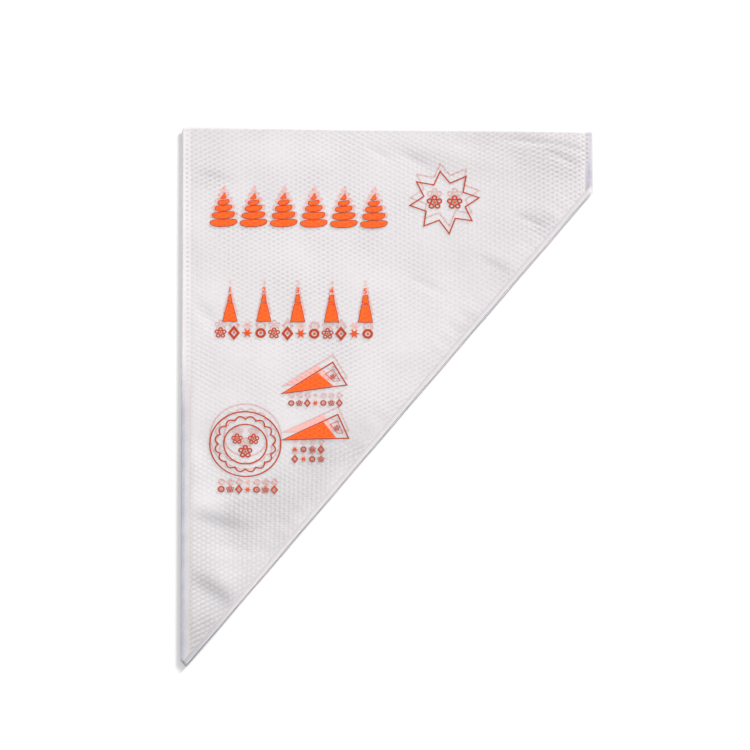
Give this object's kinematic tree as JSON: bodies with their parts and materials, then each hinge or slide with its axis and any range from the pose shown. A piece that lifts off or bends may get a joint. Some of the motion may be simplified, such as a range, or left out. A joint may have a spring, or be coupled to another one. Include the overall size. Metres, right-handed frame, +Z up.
{
  "type": "piping bag",
  "caption": "Flat pile of cone-shaped disposable piping bags in embossed clear film, with folded sides, a slanting welded edge, a closed tip and a mouth that lifts open.",
  "frame": {"origin": "under the middle of the pile, on the surface that it lies on", "axes": "+X across the mouth, from the long folded side to the short one; +Y from the closed tip to the mouth; +Z up through the pile"},
  "size_m": [0.2114, 0.3008, 0.0029],
  "materials": {
    "film": "milky translucent polyethylene film, finely embossed with a honeycomb of dimples",
    "fold": "the same film creased smooth where it is folded, greyer because it is seen edge on",
    "weld": "melted and cut film, glassy, with a thin rounded bead",
    "print_ink": "one-colour orange ink, thin enough to follow the dimples"
  },
  "bodies": {
    "bottom_bag": {"bag_1_back_film": "film", "bag_1_front_film": "film", "bag_1_long_fold": "fold", "bag_1_short_fold": "fold", "bag_1_weld": "weld"},
    "bag_2": {"bag_2_back_film": "film", "bag_2_front_film": "film", "bag_2_long_fold": "fold", "bag_2_short_fold": "fold", "bag_2_weld": "weld"},
    "bag_3": {"bag_3_back_film": "film", "bag_3_front_film": "film", "bag_3_long_fold": "fold", "bag_3_short_fold": "fold", "bag_3_weld": "weld"},
    "bag_4": {"bag_4_back_film": "film", "bag_4_front_film": "film", "bag_4_long_fold": "fold", "bag_4_short_fold": "fold", "bag_4_weld": "weld"},
    "bag_5": {"bag_5_back_film": "film", "bag_5_front_film": "film", "bag_5_long_fold": "fold", "bag_5_short_fold": "fold", "bag_5_weld": "weld"},
    "top_bag": {"bag_6_back_film": "film", "bag_6_front_tip": "film", "bag_6_front_left": "film", "bag_6_front_right": "film", "bag_6_long_fold": "fold", "bag_6_short_fold": "fold", "bag_6_weld": "weld"},
    "mouth_lip": {"bag_6_mouth_lip": "film"}
  },
  "joints": [
    {"name": "bag_2_lift", "type": "slide", "parent": "bottom_bag", "child": "bag_2", "axis": [0, 0, 1], "range_m": [0, 0.04]},
    {"name": "bag_3_lift", "type": "slide", "parent": "bag_2", "child": "bag_3", "axis": [0, 0, 1], "range_m": [0, 0.04]},
    {"name": "bag_4_lift", "type": "slide", "parent": "bag_3", "child": "bag_4", "axis": [0, 0, 1], "range_m": [0, 0.04]},
    {"name": "bag_5_lift", "type": "slide", "parent": "bag_4", "child": "bag_5", "axis": [0, 0, 1], "range_m": [0, 0.04]},
    {"name": "top_bag_lift", "type": "slide", "parent": "bag_5", "child": "top_bag", "axis": [0, 0, 1], "range_m": [0, 0.04]},
    {"name": "mouth_open", "type": "hinge", "parent": "top_bag", "child": "mouth_lip", "pos_m": [-0.09418, -0.12595, 0.00275], "axis": [1, 0, 0], "range_deg": [0, 8]}
  ]
}
